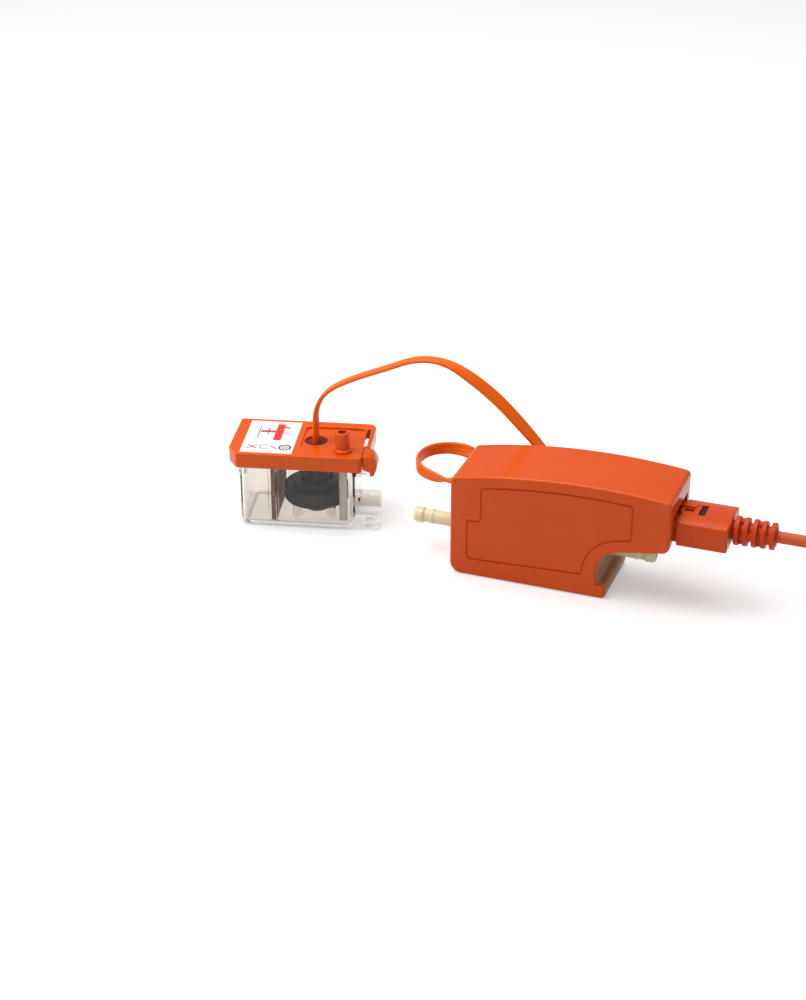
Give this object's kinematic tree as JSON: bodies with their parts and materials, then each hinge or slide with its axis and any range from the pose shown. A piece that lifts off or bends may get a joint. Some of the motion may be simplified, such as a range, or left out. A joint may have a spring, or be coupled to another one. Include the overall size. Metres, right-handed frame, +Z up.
{
  "type": "condensate pump",
  "caption": "Mini condensate pump with a moulded case and two hose barbs, a plug-in mains lead, and a clear float reservoir that a flat sensor cable joins to it.",
  "frame": {"origin": "centre of the pump unit's plan, on its underside", "axes": "+X along the pump towards its mains plug, +Y to its back, +Z up"},
  "size_m": [0.4208, 0.0884, 0.0895],
  "materials": {
    "housing_plastic": "semi-gloss moulded",
    "nylon_fittings": "satin moulded",
    "screw_steel": "zinc plated",
    "soft_rubber": "matt",
    "bright_steel": "ground",
    "yoke_steel": "zinc plated",
    "black_plastic": "satin moulded",
    "copper_wire": "enamelled",
    "brass_contacts": "plated",
    "board_laminate": "solder mask",
    "capacitor_resin": "resin",
    "ceramic": "glazed",
    "socket_plastic": "satin moulded",
    "plug_plastic": "semi-gloss moulded",
    "cable_jacket": "satin jacket",
    "core_insulation": "satin",
    "clear_plastic": "clear moulded",
    "lid_plastic": "semi-gloss moulded",
    "screen_mesh": "satin",
    "float_foam": "matt",
    "magnet_ferrite": "sintered",
    "pickup_plastic": "satin"
  },
  "bodies": {
    "pump": {"pump_housing": "housing_plastic", "base_cover": "nylon_fittings", "base_screws": "screw_steel", "inlet_fitting": "nylon_fittings", "outlet_fitting": "nylon_fittings", "o_rings": "soft_rubber", "pump_cylinder": "bright_steel", "piston_spring": "bright_steel", "buffer_spring": "bright_steel", "valve_seat": "nylon_fittings", "outlet_valve_spring": "bright_steel", "rubber_mounts": "soft_rubber", "solenoid_frame": "yoke_steel", "solenoid_bobbin": "black_plastic", "solenoid_winding": "copper_wire", "coil_pins": "bright_steel", "pole_rings": "bright_steel", "thermal_cutout": "black_plastic", "circuit_board": "board_laminate", "relay": "black_plastic", "suppression_capacitor": "capacitor_resin", "smoothing_capacitor": "black_plastic", "fuse_link": "ceramic", "sensor_connector": "black_plastic", "mains_socket": "socket_plastic", "socket_pins": "bright_steel", "cable_gland": "soft_rubber", "reservoir_tub": "clear_plastic", "filter_screen": "screen_mesh", "sensor_cable_back": "cable_jacket", "sensor_cable_loop": "cable_jacket"},
    "piston": {"piston": "bright_steel"},
    "suction_valve": {"suction_valve": "soft_rubber"},
    "outlet_valve": {"outlet_valve": "bright_steel"},
    "lid": {"reservoir_lid": "lid_plastic", "sensor_stem": "float_foam", "sensor_board": "board_laminate", "stem_seal": "soft_rubber", "pickup_tube": "pickup_plastic", "sensor_cable_arch": "cable_jacket"},
    "clip": {"lid_clip": "lid_plastic"},
    "float": {"float_body": "float_foam", "float_magnet": "magnet_ferrite"},
    "mains_lead": {"plug_body": "plug_plastic", "plug_contacts": "brass_contacts", "plug_strain_relief": "cable_jacket", "mains_cable": "cable_jacket", "mains_cable_coil": "cable_jacket", "mains_cable_tail": "cable_jacket", "core_ends": "core_insulation", "core_ferrules": "bright_steel", "coil_tie": "black_plastic"},
    "latch": {"plug_latch": "plug_plastic"}
  },
  "joints": [
    {"name": "piston_stroke", "type": "slide", "parent": "pump", "child": "piston", "axis": [1, 0, 0], "range_m": [-0.003, 0.003], "stiffness_N_per_m": 300, "deforming": ["piston_spring", "buffer_spring"]},
    {"name": "suction_valve_lift", "type": "slide", "parent": "piston", "child": "suction_valve", "axis": [1, 0, 0], "range_m": [0, 0.001]},
    {"name": "outlet_valve_lift", "type": "slide", "parent": "pump", "child": "outlet_valve", "axis": [1, 0, 0], "range_m": [0, 0.001], "stiffness_N_per_m": 10, "deforming": ["outlet_valve_spring"]},
    {"name": "lid_lift", "type": "slide", "parent": "pump", "child": "lid", "axis": [0, 0, 1], "range_m": [0, 0.03]},
    {"name": "clip_swing", "type": "hinge", "parent": "lid", "child": "clip", "pos_m": [-0.10576, 0.00984, 0.0397], "axis": [0.2436, -0.9699, 0], "range_deg": [0, 15], "stiffness_Nm_per_rad": 0.05},
    {"name": "float_rise", "type": "slide", "parent": "pump", "child": "float", "axis": [0, 0, 1], "range_m": [0, 0.01]},
    {"name": "plug_pull", "type": "slide", "parent": "pump", "child": "mains_lead", "axis": [1, 0, 0], "range_m": [0, 0.014]},
    {"name": "latch_press", "type": "hinge", "parent": "mains_lead", "child": "latch", "pos_m": [0.05925, 0.001, 0.04275], "axis": [0, -1, 0], "range_deg": [0, 5], "stiffness_Nm_per_rad": 0.02}
  ]
}
